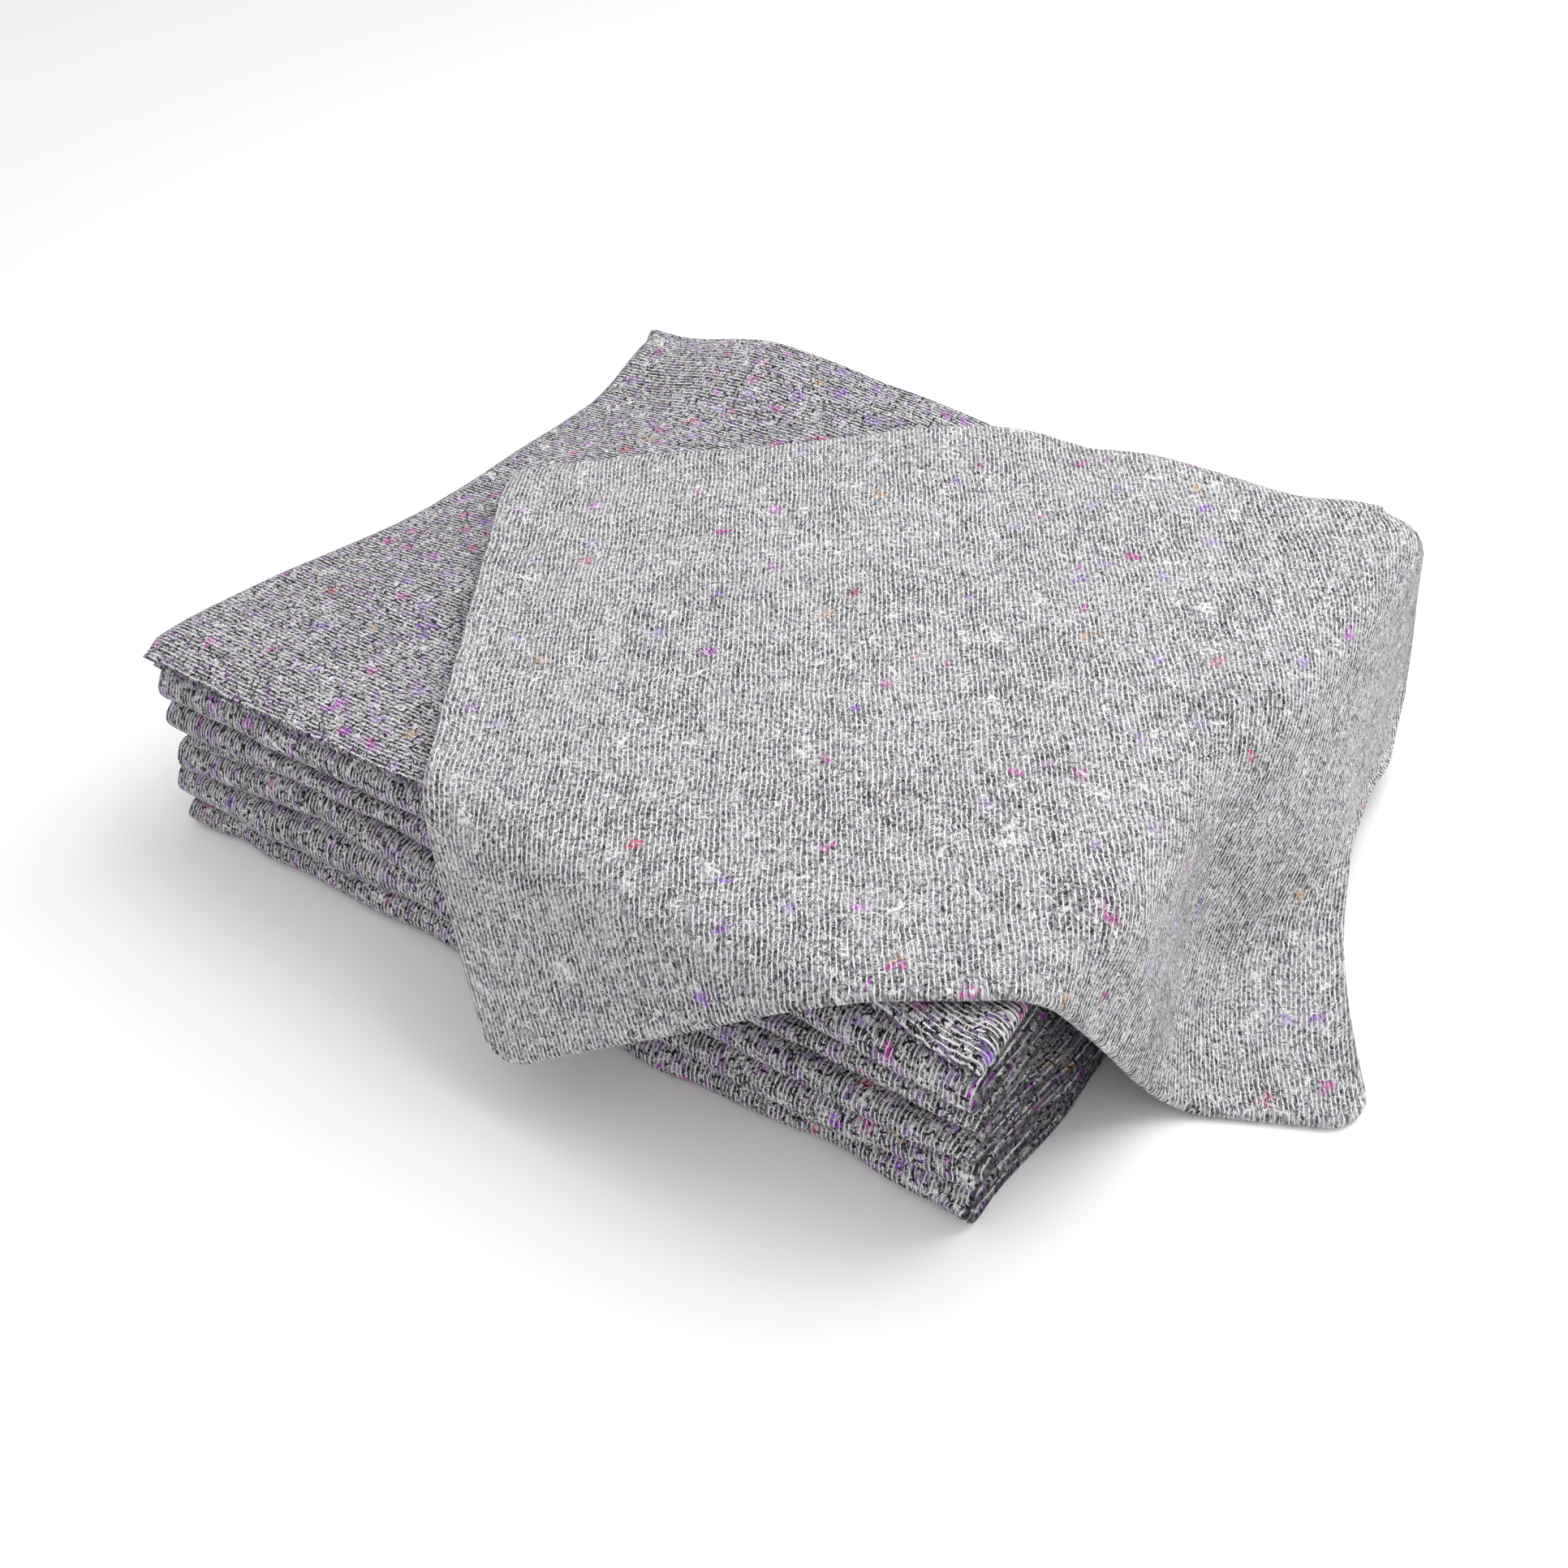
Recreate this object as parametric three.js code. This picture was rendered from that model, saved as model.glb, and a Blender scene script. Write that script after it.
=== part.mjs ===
// A stack of folded moving blankets with one more thrown slantwise over it.
// Millimetres, Z up. X runs along the long side of the stack and Y along its short side.
// The pieces are laid out from the stack's front right corner, and the whole is then
// centred, so that the origin is under the middle of it on the surface it stands on.

import * as THREE from 'three';

// Folded size of one blanket, and its cloth
const foldedLength = 610;
const foldedDepth = 500;
const seam = 0.4;            // air between two blankets
const slit = 0.6;            // air between two layers of one blanket
const looseLayer = 4.1;      // one layer of the two-layer blanket on top
const drapeLayer = 3;        // one layer of the draped blanket
const drapeSlit = 0.5;
const drapeThickness = 2 * drapeLayer + drapeSlit;

// Where the heights of the stack are given: places along X and rows along Y. Past the
// first and last of them the heights stay as they are, so that uneven ends still match.
const alongX = [-582, -480, -380, -300, -240, -150, -70, -12];
const alongY = [20, 100, 240, 395, 480];

// Heights of the creases on the front, under blankets 2 to 6, one row for each place along X
const frontCreases = [
  { x: alongX[0], under2: 18, under3: 42, under4: 67, under5: 75, under6: 98 },
  { x: alongX[1], under2: 21, under3: 54, under4: 80, under5: 92, under6: 104 },
  { x: alongX[2], under2: 25, under3: 55, under4: 76, under5: 90, under6: 104 },
  { x: alongX[3], under2: 25, under3: 52, under4: 73, under5: 87, under6: 100 },
  { x: alongX[4], under2: 24, under3: 50, under4: 71, under5: 85, under6: 97 },
  { x: alongX[5], under2: 23, under3: 47, under4: 67, under5: 82, under6: 91 },
  { x: alongX[6], under2: 24, under3: 47, under4: 66, under5: 81, under6: 93 },
  { x: alongX[7], under2: 30, under3: 53, under4: 69, under5: 77, under6: 89 },
];
const creaseNames = ['under2', 'under3', 'under4', 'under5', 'under6'];
const creaseFade = 150;      // the creases level out over this depth behind the front

// Top of the stack: one row for each row along Y, one height for each place along X.
// The back is puffed up at the left and low in the middle, and the left end droops.
const topHeights = [
  { y: alongY[0], heights: [138, 138, 138, 136, 135, 133, 134, 131] },
  { y: alongY[1], heights: [134, 135, 135, 135, 135, 135, 134, 133] },
  { y: alongY[2], heights: [123, 133, 135, 135, 135, 135, 135, 134] },
  { y: alongY[3], heights: [122, 131, 134, 133, 130, 134, 134, 134] },
  { y: alongY[4], heights: [135, 152, 144, 141, 123, 136, 133, 144] },
];

// Thickness of the top blanket along its front, where its fold opens to the right
const topFrontThickness = [10, 10, 10, 12, 14, 16, 13, 17];
const topThickness = 10;

// The six blankets below it, from the floor up. reach is how far the front bead stands
// behind the front line, lean how far the right end is pushed out at the back.
const foldedBlankets = [
  { name: 'blanket_1', left: -611, right: -4, lean: 9, reach: -6, wave: -3, back: 502 },
  { name: 'blanket_2', left: -616, right: -1, lean: 6, reach: -7, wave: 2, back: 504 },
  { name: 'blanket_3', left: -607, right: -1, lean: 5, reach: -5, wave: -1.5, back: 507 },
  { name: 'blanket_4', left: -595, right: -7, lean: 9, reach: 2, wave: 1, back: 501 },
  { name: 'blanket_5', left: -604, right: 1, lean: 1, reach: -5, wave: -2, back: 506 },
  { name: 'blanket_6', left: -599, right: -1, lean: 1, reach: -5, wave: 1.5, back: 500 },
];
const waveLength = 340;      // the front beads bulge and draw in over this length
const beadDepth = 0.5;       // depth of a front bead against its height
const endStep = 6;           // the upper layers end this much short of the lower ones

// The two-layer blanket on top. Its left end and its fold at the right, from front to back:
const topSides = [
  { left: -604, right: -1 },
  { y: alongY[0], left: -612, right: -1 },
  { y: alongY[1], left: -606, right: -5 },
  { y: alongY[2], left: -590, right: -7 },
  { y: alongY[3], left: -589, right: -7 },
  { y: alongY[4], left: -597, right: -7 },
  { left: -606, right: -7 },
];
// and its front and back edges, from left to right
const topEdges = [
  { x: alongX[0], front: -2.5, back: 497 },
  { x: alongX[1], front: -3.5, back: 498 },
  { x: alongX[2], front: -1.5, back: 496 },
  { x: alongX[3], front: 9, back: 488 },
  { x: alongX[4], front: 12, back: 482 },
  { x: alongX[5], front: 12, back: 482 },
  { x: alongX[6], front: 6, back: 482 },
  { x: alongX[7], front: -2.5, back: 482 },
];

// The draped blanket, laid out flat: its back left corner, the turn of its long
// stitches from X, its length along them and its width
const drapeCorner = { x: -556, y: 283 };
const drapeTurn = THREE.MathUtils.degToRad(-54.8);
const drapeLength = 520;
const drapeWidth = 599;
// Its right edge bows out where it comes down the back right corner of the stack
const drapeFlare = [
  { length: 90, wider: -4 },
  { length: 134, wider: -36 },
  { length: 175, wider: 8 },
  { length: 218, wider: 82 },
  { length: 262, wider: 66 },
  { length: 300, wider: 24 },
  { length: 340, wider: 0 },
  { length: 420, wider: -5 },
  { length: 520, wider: 1 },
];
const flareStart = 400;      // and its stitches spread from here to that edge
const drapeClearance = 3.2;  // over the top blanket
const bridging = 14;         // the cloth bridges hollows narrower than this each way
const drapeLengthSteps = 22;
const drapeMainSteps = 14;   // across it, up to where it spreads
const drapeFlareSteps = 11;  // and from there to its right edge

// How it hangs over the three edges it reaches: where the bend starts, its steepness
const drapeFront = { bend: -2, steepness: 1.12, spread: 12 };
const drapeBack = { bend: 493, steepness: 1.4 };
const bendRadius = 20;
const floorRadius = 40;
const drapeRight = [
  { y: 60, bend: -8.5, angle: 1.36 },
  { y: 200, bend: -8.5, angle: 1.47 },
  { y: 340, bend: -8.5, angle: 1.26 },
  { y: 420, bend: -3, angle: 1.42 },
  { y: 500, bend: -3, angle: 1.53 },
];
const forwardDrift = { most: 33, over: 216 };  // the hanging side swings to the front

const lerp = THREE.MathUtils.lerp;
const clamp = THREE.MathUtils.clamp;

// The cell of a rising list that holds a value, and the share of the way through it
function cellOf(list, value) {
  let i = 0;
  while (i < list.length - 2 && value > list[i + 1]) i += 1;
  return { i, share: clamp((value - list[i]) / (list[i + 1] - list[i]), 0, 1) };
}

function between(rows, key, result, value) {
  const { i, share } = cellOf(rows.map((row) => row[key]), value);
  return lerp(rows[i][result], rows[i + 1][result], share);
}

// Heights of the stack's layers over the lattice: levels[0] is the floor, levels[6] the
// underside of the top blanket and levels[7] the top
function stackLevels() {
  const count = foldedBlankets.length;
  const levels = Array.from({ length: count + 2 }, () => []);
  alongY.forEach((y, row) => {
    const fade = THREE.MathUtils.smoothstep(y, 0, creaseFade);
    levels.forEach((level) => level.push([]));
    alongX.forEach((x, column) => {
      const top = topHeights[row].heights[column];
      const thick = lerp(topFrontThickness[column], topThickness, fade);
      levels[0][row].push(0);
      creaseNames.forEach((crease, k) => {
        const even = ((k + 1) / count) * (top - thick);
        levels[k + 1][row].push(lerp(frontCreases[column][crease], even, fade));
      });
      levels[count][row].push(top - thick);
      levels[count + 1][row].push(top);
    });
  });
  return levels;
}

const levels = stackLevels();

function heightOf(level, x, y) {
  const across = cellOf(alongX, x);
  const back = cellOf(alongY, y);
  const grid = levels[level];
  const near = lerp(grid[back.i][across.i], grid[back.i][across.i + 1], across.share);
  const far = lerp(grid[back.i + 1][across.i], grid[back.i + 1][across.i + 1], across.share);
  return lerp(near, far, back.share);
}

// Joins rings into one closed body. A ring goes out along one side of a strip of cloth
// and back along the other. Every four-sided face is split the same way seen from above,
// so that faces that lie on each other match.
function bodyThrough(rings, name, colour) {
  const size = rings[0].length;
  const faces = [];
  for (let i = 0; i < rings.length - 1; i += 1) {
    for (let j = 0; j < size; j += 1) {
      const next = (j + 1) % size;
      const a = i * size + j;
      const b = i * size + next;
      const c = a + size;
      const d = b + size;
      const span = rings[i + 1][next].clone().sub(rings[i][j]);
      if (span.x * span.y > 0) faces.push(a, c, d, a, d, b);
      else faces.push(a, c, b, b, c, d);
    }
  }
  const last = (rings.length - 1) * size;
  faces.push(...ladder(size, 0), ...ladder(size, last).reverse());
  return clothMesh(rings.flat(), faces, name, colour);
}

// The end of a body: a ladder of triangles between the two sides of its ring
function ladder(size, first) {
  const faces = [];
  for (let i = 0; i < size / 2 - 1; i += 1) {
    const outer = first + i;
    const inner = first + size - 1 - i;
    faces.push(outer, outer + 1, inner - 1, outer, inner - 1, inner);
  }
  return faces;
}

function clothMesh(points, faces, name, colour) {
  if (volumeOf(points, faces) < 0) faces.reverse();
  const geometry = new THREE.BufferGeometry().setFromPoints(points);
  geometry.setIndex(faces);
  geometry.computeVertexNormals();
  const material = new THREE.MeshStandardMaterial({ color: colour, roughness: 0.95, metalness: 0 });
  const mesh = new THREE.Mesh(geometry, material);
  mesh.name = name;
  return mesh;
}

function volumeOf(points, faces) {
  let volume = 0;
  for (let i = 0; i < faces.length; i += 3) {
    const [a, b, c] = faces.slice(i, i + 3).map((index) => points[index]);
    volume += a.dot(b.clone().cross(c)) / 6;
  }
  return volume;
}

// Points of a half turn between two runs: side +1 bulges to higher values, -1 to lower
function turn(centre, height, reach, rise, side, steps) {
  const points = [];
  for (let i = 1; i < steps; i += 1) {
    const angle = (i / steps) * Math.PI;
    points.push([centre + side * reach * Math.sin(angle), height + rise * Math.cos(angle)]);
  }
  return points;
}

// Blankets 1 to 6: folded in half and in half again, so that a front bead is one turn
// inside another. At the back the lower two layers are joined and the upper two end.
const beadSteps = 5;
const innerSteps = 3;
const backSteps = 2;

function foldedSection(blanket, level, x, xAt) {
  const floor = (y) => heightOf(level, xAt(y), y) + (level > 0 ? seam / 2 : 0);
  const top = (y) => heightOf(level + 1, xAt(y), y) - seam / 2;
  const layer = (y) => (top(y) - floor(y) - 3 * slit) / 4;
  const face = (index, side) => (y) => [y, floor(y) + index * (layer(y) + slit) + side * layer(y)];
  const wave = blanket.wave * Math.sin((2 * Math.PI * x) / waveLength + level);
  const front = blanket.reach + wave;
  const tall = top(front) - floor(front);
  const start = front + beadDepth * tall;
  const thick = layer(start);
  const middle = (floor(start) + top(start)) / 2;
  const half = tall / 2;
  const outward = (end) => [start, ...alongY, end];
  const foldEnd = blanket.back - thick - slit / 2;
  const bead = (rise, steps) => (
    turn(start, middle, 2 * beadDepth * rise, rise, -1, steps));
  const low = face(0, 1)(foldEnd)[1] + slit / 2;
  const backFold = (rise) => turn(foldEnd, low, rise, -rise, 1, backSteps);
  const outer = [
    ...outward(blanket.back - endStep).reverse().map(face(3, 1)),
    ...bead(half, beadSteps),
    ...outward(foldEnd).map(face(0, 0)),
    ...backFold(thick + slit / 2),
    ...outward(foldEnd).reverse().map(face(1, 1)),
    ...bead(slit / 2, innerSteps).reverse(),
    ...outward(blanket.back - 2 * endStep).map(face(2, 0)),
  ];
  const inner = [
    ...outward(blanket.back - endStep).reverse().map(face(3, 0)),
    ...bead(half - thick, beadSteps),
    ...outward(foldEnd).map(face(0, 1)),
    ...backFold(slit / 2),
    ...outward(foldEnd).reverse().map(face(1, 0)),
    ...bead(half - thick - slit, innerSteps).reverse(),
    ...outward(blanket.back - 2 * endStep).map(face(2, 1)),
  ];
  const place = ([y, z]) => new THREE.Vector3(xAt(y), y, z);
  return [...outer, ...inner.reverse()].map(place);
}

function makeFoldedBlanket(blanket, level) {
  const places = [blanket.left, ...alongX, blanket.right];
  const rings = places.map((x, index) => {
    const lean = index === places.length - 1 ? blanket.lean : 0;
    return foldedSection(blanket, level, x, (y) => x + lean * clamp(y / foldedDepth, 0, 1));
  });
  return bodyThrough(rings, blanket.name, 0x8b8a92);
}

// Blanket 7: two layers, folded over at the right, where the fold stands open
function topSection({ y, left, right }, row) {
  const level = foldedBlankets.length;
  const edge = row === 0 ? 'front' : 'back';
  const yAt = (x) => y ?? between(topEdges, 'x', edge, x);
  const floor = (x) => heightOf(level, x, yAt(x)) + seam / 2;
  const top = (x) => heightOf(level + 1, x, yAt(x));
  const half = (top(right) - floor(right)) / 2;
  const start = right - half;
  const middle = floor(right) + half;
  const run = (end) => [end, ...alongX, start];
  const side = (depth) => [
    ...run(left).map((x) => [x, top(x) - depth]),
    ...turn(start, middle, half - depth, half - depth, 1, beadSteps),
    ...run(left + endStep).reverse().map((x) => [x, floor(x) + depth]),
  ];
  const place = ([x, z]) => new THREE.Vector3(x, yAt(x), z);
  return [...side(0), ...side(looseLayer).reverse()].map(place);
}

function makeTopBlanket() {
  return bodyThrough(topSides.map(topSection), 'blanket_7', 0x9a98a2);
}

// How far out and how far down the cloth has come after a length beyond its bend: a
// round bend, a straight fall and, where it reaches the floor, a round foot
function hang(length, drop, steepness) {
  const sine = Math.sin(steepness);
  const cosine = Math.cos(steepness);
  const bend = clamp(length, 0, bendRadius * steepness);
  const fallLength = Math.max((drop - (bendRadius + floorRadius) * (1 - cosine)) / sine, 0);
  const fall = clamp(length - bendRadius * steepness, 0, fallLength);
  const foot = clamp(length - bendRadius * steepness - fallLength, 0, floorRadius * steepness);
  const floor = Math.max(length - bend - fallLength - floorRadius * steepness, 0);
  const footAngle = steepness - foot / floorRadius;
  return {
    out: bendRadius * Math.sin(bend / bendRadius) + fall * cosine
      + floorRadius * (sine - Math.sin(footAngle)) + (foot > 0 ? floor : 0),
    down: bendRadius * (1 - Math.cos(bend / bendRadius)) + fall * sine
      + floorRadius * (Math.cos(footAngle) - cosine),
  };
}

// Height of the draped blanket's upper side where it lies on the stack
function drapeTop(x, y) {
  const steps = [-bridging, 0, bridging];
  const heights = steps.flatMap((dx) => steps.map((dy) => heightOf(
    levels.length - 1,
    Math.min(x + dx, between(drapeRight, 'y', 'bend', y)),
    clamp(y + dy, drapeFront.bend, drapeBack.bend))));
  return Math.max(...heights) + drapeClearance + drapeThickness;
}

// Upper side of the draped blanket at a length along its stitches and a place across
function drapeSurface(length, across) {
  const sine = Math.sin(drapeTurn);
  const cosine = Math.cos(drapeTurn);
  const flare = between(drapeFlare, 'length', 'wider', length);
  const wide = across + flare * THREE.MathUtils.smoothstep(across, flareStart, drapeWidth);
  const x = drapeCorner.x + length * cosine - wide * sine;
  const y = drapeCorner.y + length * sine + wide * cosine;
  const drop = drapeTop(x, y) - drapeThickness;
  const bend = between(drapeRight, 'y', 'bend', y);
  const right = hang(Math.max(x - bend, 0), drop, between(drapeRight, 'y', 'angle', y));
  const front = hang(Math.max(drapeFront.bend - y, 0), drop, drapeFront.steepness);
  const back = hang(Math.max(y - drapeBack.bend, 0), drop, drapeBack.steepness);
  const drift = Math.max((x - bend) / forwardDrift.over, 0) ** 1.5;
  return new THREE.Vector3(
    Math.min(x, bend) + right.out - drapeFront.spread * Math.sin(front.down / 90),
    clamp(y, drapeFront.bend, drapeBack.bend) - front.out + back.out - forwardDrift.most * drift,
    drop + drapeThickness - right.down - front.down - back.down,
  );
}

// A point below the upper side, square to it, and never under the floor
function drapePoint(length, across, depth) {
  const step = 3;
  const along = drapeSurface(length + step, across).sub(drapeSurface(length - step, across));
  const sideways = drapeSurface(length, across + step).sub(drapeSurface(length, across - step));
  const normal = along.clone().cross(sideways).normalize();
  const point = drapeSurface(length, across).addScaledVector(normal, -depth);
  point.z = Math.max(point.z, 0);
  return point;
}

// The turn at the front edge: it goes out along the stitches and under
function drapeEdge(across, radius) {
  const start = drapeLength - drapeThickness / 2;
  const points = [];
  for (let i = 1; i < innerSteps; i += 1) {
    const angle = (i / innerSteps) * Math.PI;
    const depth = drapeThickness / 2 - radius * Math.cos(angle);
    points.push(drapePoint(start + radius * Math.sin(angle), across, depth));
  }
  return points;
}

// The draped blanket: two layers, joined along the front edge
function drapeSection(across) {
  const start = drapeLength - drapeThickness / 2;
  const run = (from, depth) => {
    const points = [];
    for (let i = 0; i <= drapeLengthSteps; i += 1) {
      points.push(drapePoint(lerp(from, start, i / drapeLengthSteps), across, depth));
    }
    return points;
  };
  const outer = [
    ...run(0, 0),
    ...drapeEdge(across, drapeThickness / 2),
    ...run(endStep, drapeThickness).reverse(),
  ];
  const inner = [
    ...run(0, drapeLayer),
    ...drapeEdge(across, drapeSlit / 2),
    ...run(endStep, drapeThickness - drapeLayer).reverse(),
  ];
  return [...outer, ...inner.reverse()];
}

function makeDrapedBlanket() {
  const rings = [];
  for (let i = 0; i < drapeMainSteps; i += 1) {
    rings.push(drapeSection((i / drapeMainSteps) * flareStart));
  }
  for (let i = 0; i <= drapeFlareSteps; i += 1) {
    rings.push(drapeSection(lerp(flareStart, drapeWidth, i / drapeFlareSteps)));
  }
  return bodyThrough(rings, 'draped_blanket', 0xb4b4b6);
}

const stack = new THREE.Group();
stack.add(...foldedBlankets.map(makeFoldedBlanket), makeTopBlanket(), makeDrapedBlanket());

// The origin goes under the middle of the whole
const middle = new THREE.Box3().setFromObject(stack).getCenter(new THREE.Vector3());
stack.position.set(-middle.x, -middle.y, 0);

const blankets = new THREE.Group();
blankets.add(stack);
blankets.updateMatrixWorld(true);

export default blankets;
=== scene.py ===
import bisect
import math

import bmesh
import bpy
from mathutils import Matrix, Vector, noise


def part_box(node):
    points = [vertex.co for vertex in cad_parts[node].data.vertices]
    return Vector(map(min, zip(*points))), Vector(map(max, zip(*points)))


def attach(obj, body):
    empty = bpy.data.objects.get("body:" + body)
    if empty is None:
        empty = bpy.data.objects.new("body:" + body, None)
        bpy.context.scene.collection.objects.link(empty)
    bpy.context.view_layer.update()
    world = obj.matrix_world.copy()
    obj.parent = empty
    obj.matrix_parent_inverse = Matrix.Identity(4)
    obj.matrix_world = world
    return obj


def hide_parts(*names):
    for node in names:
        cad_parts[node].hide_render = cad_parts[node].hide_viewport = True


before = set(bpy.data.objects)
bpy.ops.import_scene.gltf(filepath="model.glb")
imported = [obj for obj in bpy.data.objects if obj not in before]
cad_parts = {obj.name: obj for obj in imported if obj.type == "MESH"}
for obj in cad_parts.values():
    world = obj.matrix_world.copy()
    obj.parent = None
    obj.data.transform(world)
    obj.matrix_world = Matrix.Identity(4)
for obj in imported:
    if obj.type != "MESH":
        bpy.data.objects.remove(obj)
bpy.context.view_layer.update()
print("frame loaded:", ", ".join(sorted(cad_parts)))

# Lengths are in millimetres, laid out from the stack's front right corner: X runs along
# the long side, Y to the back. Points are moved into the row frame when a mesh is placed.
stack = {
    "leftOfLowest": -611, "frontOfTop": -3.5,        # two places that the CAD nodes give back
    "alongX": [-582, -480, -380, -300, -240, -150, -70, -12],
    "alongY": [20, 100, 240, 395, 480],
    "creases": [                                     # heights on the front, left to right
        [18, 21, 25, 25, 24, 23, 24, 30],
        [42, 54, 55, 52, 50, 47, 47, 53],
        [67, 80, 76, 73, 71, 67, 66, 69],
        [75, 92, 90, 87, 85, 82, 81, 77],
        [98, 104, 104, 100, 97, 91, 93, 89],
    ],
    "creaseFade": 150,
    "topHeights": [                                  # rows from front to back
        [138, 138, 138, 136, 135, 133, 134, 131],
        [134, 135, 135, 135, 135, 135, 134, 133],
        [123, 133, 135, 135, 135, 135, 135, 134],
        [122, 131, 134, 133, 130, 134, 134, 134],
        [135, 152, 144, 141, 123, 136, 133, 144],
    ],
    "topFrontThickness": [10, 10, 10, 12, 14, 16, 13, 17],
    "topThickness": 10,
    "seam": 0.4,
    "ripple": 1.3, "rippleSpacing": 62,              # slow unevenness of every layer
    "cell": 5,                                       # spacing of the height maps
}

mm = 0.001
stackPlace = Vector((
    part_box("blanket_1")[0].x - stack["leftOfLowest"] * mm,
    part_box("blanket_7")[0].y - stack["frontOfTop"] * mm,
    0,
))


def clamp(value, low=0.0, high=1.0):
    return max(low, min(high, value))


def mix(a, b, share):
    return a + (b - a) * share


def smoothStep(value, low, high):
    share = clamp((value - low) / (high - low))
    return share * share * (3 - 2 * share)


def smoothLine(places, values, at):                  # a smooth line, level past both ends
    if at <= places[0]:
        return values[0]
    if at >= places[-1]:
        return values[-1]
    i = bisect.bisect_right(places, at) - 1
    span = places[i + 1] - places[i]
    share = (at - places[i]) / span

    def slope(k):
        if k == 0 or k == len(places) - 1:
            return 0.0
        before = (values[k] - values[k - 1]) / (places[k] - places[k - 1])
        after = (values[k + 1] - values[k]) / (places[k + 1] - places[k])
        return 0.0 if before * after <= 0 else 2 * before * after / (before + after)

    a, b = slope(i) * span, slope(i + 1) * span
    s2, s3 = share ** 2, share ** 3
    return ((2 * s3 - 3 * s2 + 1) * values[i] + (s3 - 2 * s2 + share) * a
            + (3 * s2 - 2 * s3) * values[i + 1] + (s3 - s2) * b)


# Heights of the stack's layers: 0 is the floor, 6 the underside of the top blanket, 7 the top
def latticeLevels():
    levels = [[] for _ in range(8)]
    for y, tops in zip(stack["alongY"], stack["topHeights"]):
        fade = smoothStep(y, 0, stack["creaseFade"])
        rows = [[] for _ in range(8)]
        for column, top in enumerate(tops):
            thick = mix(stack["topFrontThickness"][column], stack["topThickness"], fade)
            rows[0].append(0)
            for k, crease in enumerate(stack["creases"]):
                rows[k + 1].append(mix(crease[column], (k + 1) / 6 * (top - thick), fade))
            rows[6].append(top - thick)
            rows[7].append(top)
        for level, row in zip(levels, rows):
            level.append(row)
    return levels


mapStart = {"x": -660, "y": -40}
mapSteps = {"x": 148, "y": 124}


def heightMap(level, rows):
    cell, spacing = stack["cell"], stack["rippleSpacing"]
    grid = []
    for i in range(mapSteps["x"]):
        x = mapStart["x"] + i * cell
        line = [smoothLine(stack["alongX"], row, x) for row in rows]
        column = []
        for j in range(mapSteps["y"]):
            y = mapStart["y"] + j * cell
            ripple = noise.noise(Vector((x / spacing, y / spacing, level * 3.7)))
            ripple *= stack["ripple"] if level else 0
            column.append(smoothLine(stack["alongY"], line, y) + ripple)
        grid.append(column)
    return grid


def readMap(grid, x, y):
    a = clamp((x - mapStart["x"]) / stack["cell"], 0, mapSteps["x"] - 1.001)
    b = clamp((y - mapStart["y"]) / stack["cell"], 0, mapSteps["y"] - 1.001)
    i, j = int(a), int(b)
    return mix(mix(grid[i][j], grid[i + 1][j], a - i),
               mix(grid[i][j + 1], grid[i + 1][j + 1], a - i), b - j)


levelMaps = [heightMap(level, rows) for level, rows in enumerate(latticeLevels())]
print("height maps ready")


def evenSteps(start, end, count):
    return [mix(start, end, i / count) for i in range(count + 1)]


# Distances from a cut edge at which the cloth's rounded rim gets a line of points
rimSteps = [0, 0.12, 0.45, 1.0, 1.8]
rimRadius = 2.4


def rimShare(distance):                              # share of the full thickness near an edge
    far = clamp(1 - distance / rimRadius)
    return max(0.04, math.sqrt(1 - far * far))


def withRims(start, end, count):                     # even steps with a rounded rim at each end
    middle = evenSteps(start + rimRadius, end - rimRadius, count)
    return [start + r for r in rimSteps] + middle + [end - r for r in reversed(rimSteps)]


# A sheet of cloth: a grid whose points are placed by a function of (across, row), which
# gives the middle of the cloth and its thickness. The UV map named cloth is the flat cloth,
# in metres. widthAt moves a point of it sideways, where the sheet is wider than drawn.
def makeSheet(name, across, rows, lengths, place, widthAt=lambda across, length: across):
    bm = bmesh.new()
    bmesh.ops.create_grid(bm, x_segments=len(across) - 1, y_segments=len(rows) - 1, size=1)
    flat = bm.loops.layers.uv.new("cloth")
    shares = bm.verts.layers.deform.verify()
    thickest = 0
    spots = {}
    for vert in bm.verts:
        i = round((vert.co.x + 1) / 2 * (len(across) - 1))
        j = round((vert.co.y + 1) / 2 * (len(rows) - 1))
        point, thickness = place(across[i], rows[j])
        vert.co = stackPlace + Vector(point) * mm
        wide = widthAt(across[i], lengths[j])
        spots[vert] = (wide * mm, lengths[j] * mm, thickness)
        thickest = max(thickest, thickness)
    for face in bm.faces:
        face.smooth = True
        for loop in face.loops:
            loop[flat].uv = spots[loop.vert][:2]
    for vert, (_, _, thickness) in spots.items():
        vert[shares][0] = thickness / thickest
    mesh = bpy.data.meshes.new(name)
    bm.to_mesh(mesh)
    bm.free()
    piece = bpy.data.objects.new(name, mesh)
    bpy.context.scene.collection.objects.link(piece)
    piece.vertex_groups.new(name="thickness")
    solid = piece.modifiers.new("thickness", "SOLIDIFY")
    solid.thickness = thickest * mm
    solid.offset = 0
    solid.vertex_group = "thickness"
    return piece


def lengthsAlong(rows, pointAt):                     # distance along the cloth to each row
    points = [Vector(pointAt(row)[0]) for row in rows]
    lengths = [0]
    for a, b in zip(points, points[1:]):
        lengths.append(lengths[-1] + (b - a).length)
    return lengths


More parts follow.
